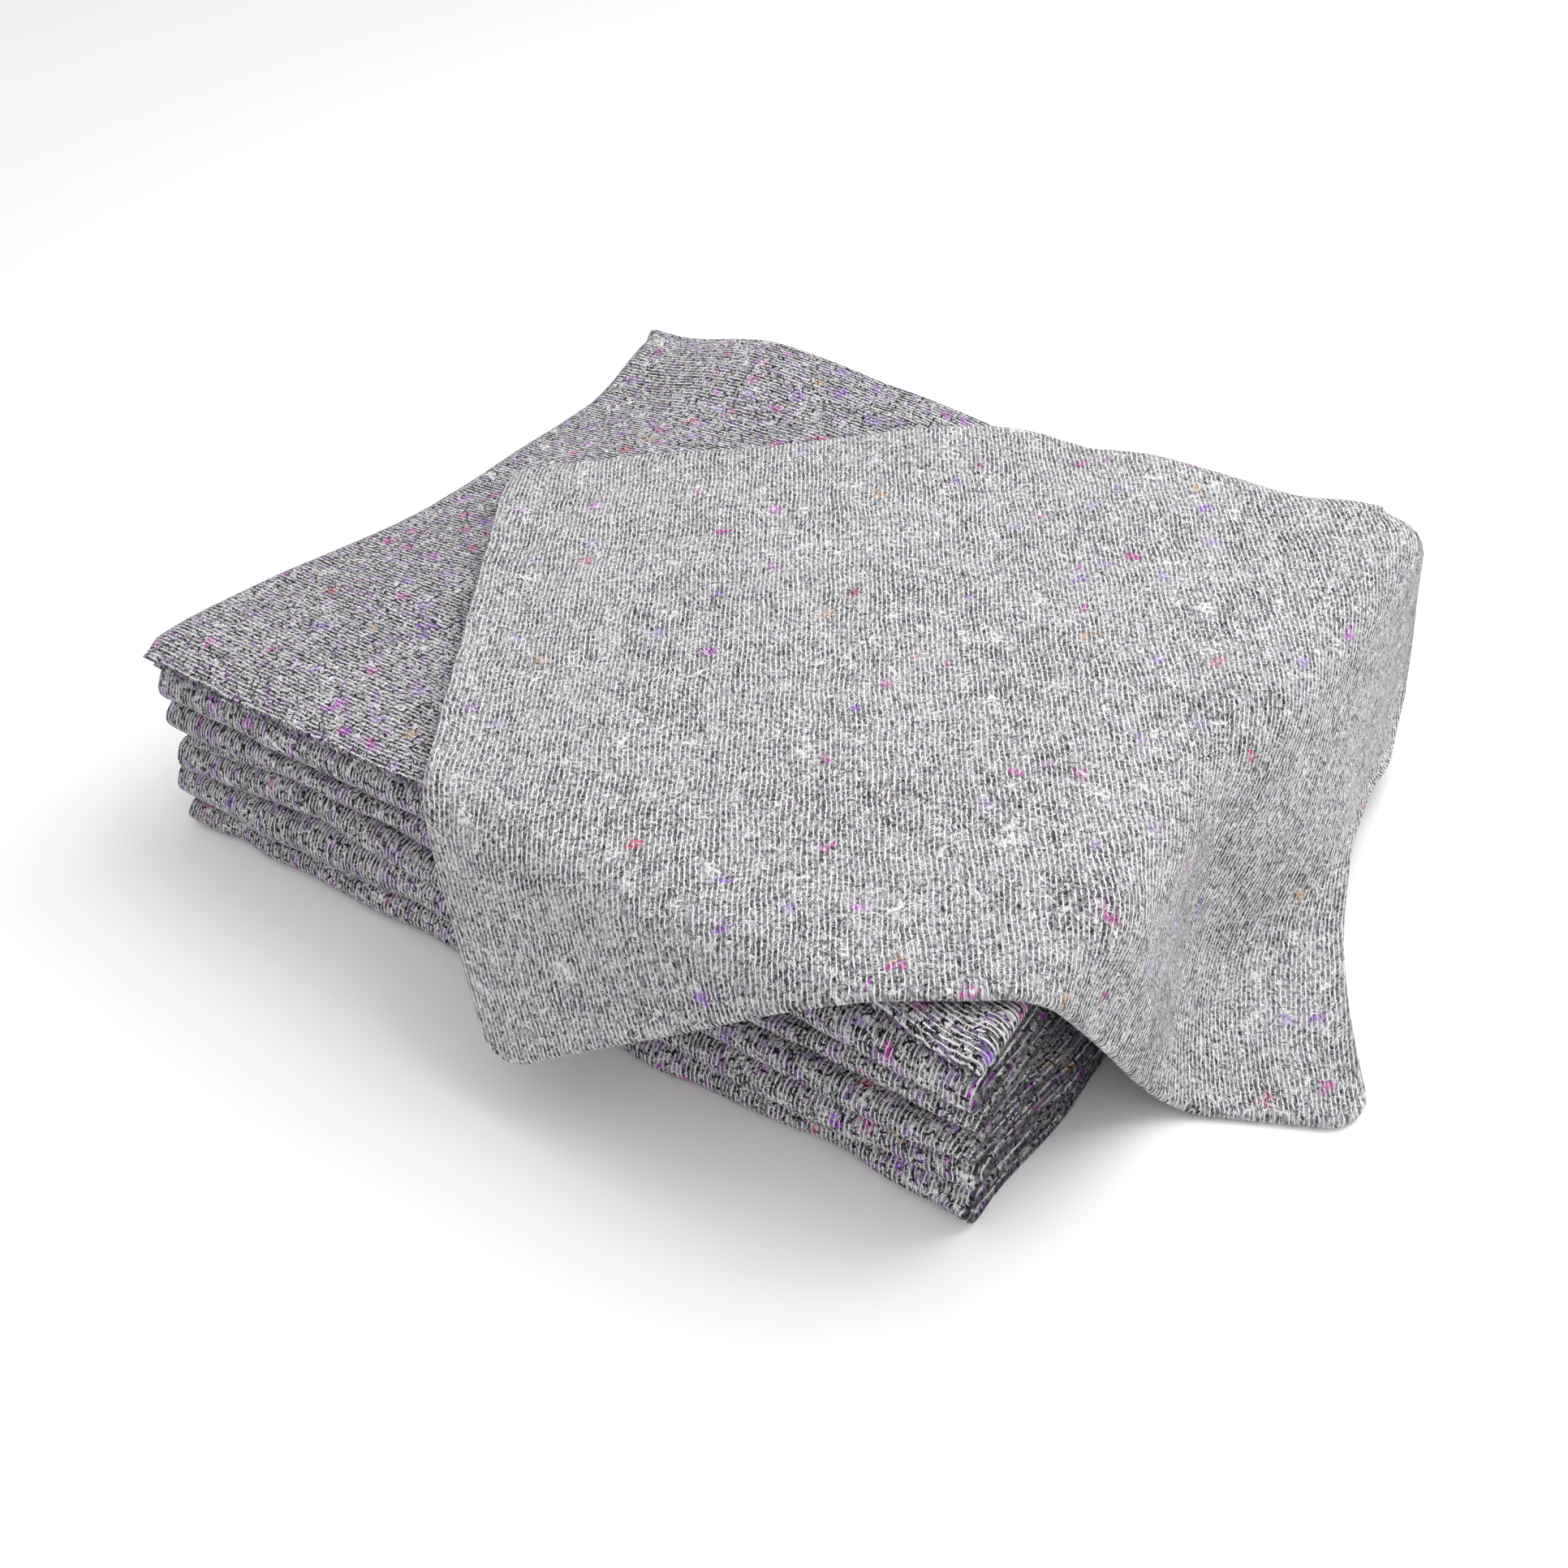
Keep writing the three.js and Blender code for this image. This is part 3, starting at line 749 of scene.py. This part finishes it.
def stitchedFelt():
    tree = bpy.data.node_groups.new("stitchedFelt", "ShaderNodeTree")
    face = tree.interface
    face.new_socket("Cloth", in_out="INPUT", socket_type="NodeSocketVector")
    # one of these inputs sets how strongly painted shade darkens the cut ends
    for name in ("Seed", "Width", "CutEnds", "Threads", "Flecks", "Lightness", "Purple", "Specks"):
        face.new_socket(name, in_out="INPUT", socket_type="NodeSocketFloat")
    face.new_socket("Color", in_out="OUTPUT", socket_type="NodeSocketColor")
    face.new_socket("Height", in_out="OUTPUT", socket_type="NodeSocketFloat")
    given = tree.nodes.new("NodeGroupInput").outputs
    flat = addNode(tree, "ShaderNodeSeparateXYZ", {0: given["Cloth"]}).outputs
    u = maths(tree, "MULTIPLY", flat[0], 1000)
    v = maths(tree, "MULTIPLY", flat[1], 1000)
    seed = maths(tree, "MULTIPLY", given["Seed"], 37.7)
    place = vectorOf(tree, maths(tree, "MULTIPLY_ADD", seed, 31.0, u),
                     maths(tree, "MULTIPLY_ADD", seed, 17.0, v))
    thread, hole = threadsAndHoles(tree, u, v, place, seed)
    thread = maths(tree, "MULTIPLY", thread, given["Threads"])

    # the fibres: specks and clumps of dark and light over slower changes
    layers = {name: layerOfNoise(tree, name, place) for name, _ in felt["shares"]}
    shade = given["Lightness"]
    for name, share in felt["shares"]:
        shade = maths(tree, "MULTIPLY_ADD", layers[name], share, shade)
    shade = maths(tree, "MULTIPLY", maths(tree, "MULTIPLY", shade, shade), felt["brightest"])
    shade = maths(tree, "MULTIPLY", shade, maths(tree, "SUBTRACT", 1.0, hole))
    colour = blendColour(tree, shade, felt["dark"], felt["light"])

    # lilac tints and bright flecks of recycled fibre
    tint = maths(tree, "MULTIPLY", layerOfNoise(tree, "tint", place), given["Purple"])
    colour = blendColour(tree, tint, colour, felt["tint"])
    picked, near = fleckCells(tree, place)
    rare = ranged(tree, maths(tree, "SUBTRACT", picked[0], given["Flecks"]), -0.01, 0.01, 1, 0)
    broken = layerOfNoise(tree, "broken", place)
    fleck = maths(tree, "MULTIPLY", maths(tree, "MULTIPLY", near, rare), broken)
    cover = maths(tree, "MULTIPLY", fleck, felt["fleckCover"])
    colour = blendColour(tree, cover, colour, fleckColour(tree, picked[1]))

    # loose white fibres, lint and tufts, and the thread on top of it
    wisp = maths(tree, "MULTIPLY", looseWisps(tree, place), felt["wispCover"])
    tuft = maths(tree, "MULTIPLY", ranged(tree, picked[2], *felt["tufts"]), near)
    white = maths(tree, "MAXIMUM", wisp, maths(tree, "MULTIPLY", tuft, broken))
    colour = blendColour(tree, layerOfNoise(tree, "fuzz", place), colour, felt["lint"])
    worn = maths(tree, "MULTIPLY", fleck, felt["fleckWear"])
    laid = maths(tree, "MULTIPLY", maths(tree, "MULTIPLY", thread, felt["threadCover"]),
                 maths(tree, "SUBTRACT", 1.0, worn))
    colour = blendColour(tree, maths(tree, "MAXIMUM", laid, white), colour, felt["thread"])

    # painted shade darkens the cut ends, standing in for the shadow on the ends of the layers, and
    # black specks lie over all of it
    fromEnd = maths(tree, "MINIMUM", u, maths(tree, "SUBTRACT", given["Width"], u))
    endShade = maths(tree, "MULTIPLY", ranged(tree, fromEnd, *felt["endShadeSpan"], 1, 0), given["CutEnds"])
    colour = blendColour(tree, endShade, colour, felt["dark"])
    speck = maths(tree, "MULTIPLY", layerOfNoise(tree, "speck", place), given["Specks"])
    colour = blendColour(tree, speck, colour, felt["dark"])
    height = maths(tree, "MULTIPLY_ADD", layers["clumps"], felt["clumpHeight"],
                   maths(tree, "MULTIPLY", thread, felt["threadHeight"]))
    addNode(tree, "NodeGroupOutput", {"Color": colour, "Height": height})
    return tree


feltGroup = stitchedFelt()


surface = {"roughness": 0.95, "specular": 0.12, "sheen": 0.05, "sheenRoughness": 0.6,
           "bump": 0.9, "bumpDistance": 0.001}


def feltMaterial(name, **values):
    material = bpy.data.materials.new(name)
    material.use_nodes = True
    tree = material.node_tree
    shader = tree.nodes["Principled BSDF"]
    shader.inputs["Roughness"].default_value = surface["roughness"]
    shader.inputs["Specular IOR Level"].default_value = surface["specular"]
    shader.inputs["Sheen Weight"].default_value = surface["sheen"]
    shader.inputs["Sheen Roughness"].default_value = surface["sheenRoughness"]
    cloth = addNode(tree, "ShaderNodeUVMap", uv_map="cloth").outputs[0]
    group = tree.nodes.new("ShaderNodeGroup")
    group.node_tree = feltGroup
    tree.links.new(cloth, group.inputs["Cloth"])
    for key, value in values.items():
        group.inputs[key].default_value = value
    bump = addNode(tree, "ShaderNodeBump", {
        "Height": group.outputs["Height"], "Strength": surface["bump"],
        "Distance": surface["bumpDistance"],
    })
    tree.links.new(group.outputs["Color"], shader.inputs["Base Color"])
    tree.links.new(bump.outputs[0], shader.inputs["Normal"])
    return material


def dress(piece, node, material):
    piece.data.materials.append(material)
    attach(piece, "root")
    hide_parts(node)


studio = {
    "floorSize": 12, "floorColour": (0.97, 0.97, 0.97, 1), "floorRoughness": 0.9,
    "worldStrength": 0.80,
    "keyPlace": (0.45, 0.8, 1.5), "keySize": 1.5, "keyPower": 23, "keyAim": (0, 0, 0.08),
}
bm = bmesh.new()
bmesh.ops.create_grid(bm, x_segments=1, y_segments=1, size=studio["floorSize"] / 2)
floorMesh = bpy.data.meshes.new("floor")
bm.to_mesh(floorMesh)
bm.free()
floor = bpy.data.objects.new("floor", floorMesh)
bpy.context.scene.collection.objects.link(floor)
floorMaterial = bpy.data.materials.new("paleFloor")
floorMaterial.use_nodes = True
floorShader = floorMaterial.node_tree.nodes["Principled BSDF"]
floorShader.inputs["Base Color"].default_value = studio["floorColour"]
floorShader.inputs["Roughness"].default_value = studio["floorRoughness"]
floor.data.materials.append(floorMaterial)

for level, blanket in enumerate(folded["blankets"]):
    cloth = makeFolded(level, blanket)
    # the cut ends of the folded blankets get strong painted shade
    material = feltMaterial(f"foldedFelt{level + 1}", Seed=level + 1.0, Threads=0.95, Flecks=0.26,
                            Width=blanket["right"] - blanket["left"], Lightness=-0.14, Purple=0.75,
                            Specks=1.0, CutEnds=0.75)
    dress(cloth, f"blanket_{level + 1}", material)
print("folded blankets made")

topCloth = makeTop()
# the top blanket's cut ends get a little painted shade, the draped blanket's none
dress(topCloth, "blanket_7",
      feltMaterial("topFelt", Seed=8.0, Width=500.0, CutEnds=0.15, Threads=0.95, Flecks=0.24,
                   Lightness=-0.17, Purple=0.7, Specks=1.0))
drapedCloth = makeDrape()
dress(drapedCloth, "draped_blanket",
      feltMaterial("drapedFelt", Seed=9.0, Width=599.0, CutEnds=0.0, Threads=1.0, Flecks=0.075,
                   Lightness=0.10, Purple=0.12, Specks=0.6))
print("top and draped blankets made")

# Soft studio light: a white world, and one large lamp behind the stack on the right
world = bpy.data.worlds.new("studio")
world.use_nodes = True
world.node_tree.nodes["Background"].inputs[0].default_value = (1, 1, 1, 1)
world.node_tree.nodes["Background"].inputs[1].default_value = studio["worldStrength"]
bpy.context.scene.world = world
bpy.context.scene.view_settings.view_transform = "Standard"
light = bpy.data.lights.new("key", "AREA")
light.size = studio["keySize"]
light.energy = studio["keyPower"]
keyLamp = bpy.data.objects.new("key", light)
keyLamp.location = studio["keyPlace"]
aim = Vector(studio["keyAim"]) - keyLamp.location
keyLamp.rotation_euler = aim.to_track_quat("-Z", "Y").to_euler()
bpy.context.scene.collection.objects.link(keyLamp)

# The camera stands where the photograph was taken from
view = {"place": (299.0, -482.1, 779.2), "azimuth": -39.8007, "elevation": 40.0292,
        "roll": -5.4149, "lens": 42.36, "sensor": 36, "nearest": 0.01}
azimuth, elevation = math.radians(view["azimuth"]), math.radians(view["elevation"])
roll = math.radians(view["roll"])
forward = Vector((math.sin(azimuth) * math.cos(elevation),
                  math.cos(azimuth) * math.cos(elevation), -math.sin(elevation)))
right = Vector((math.cos(azimuth), -math.sin(azimuth), 0))
up = right.cross(forward)
cameraRight = right * math.cos(roll) + up * math.sin(roll)
cameraUp = up * math.cos(roll) - right * math.sin(roll)
camera = bpy.data.objects.new("camera", bpy.data.cameras.new("camera"))
camera.data.lens = view["lens"]
camera.data.sensor_width = view["sensor"]
camera.data.clip_start = view["nearest"]
turned = Matrix((cameraRight, cameraUp, -forward)).transposed().to_4x4()
camera.matrix_world = Matrix.Translation(stackPlace + Vector(view["place"]) * mm) @ turned
bpy.context.scene.collection.objects.link(camera)
bpy.context.scene.camera = camera
print("camera and light placed")
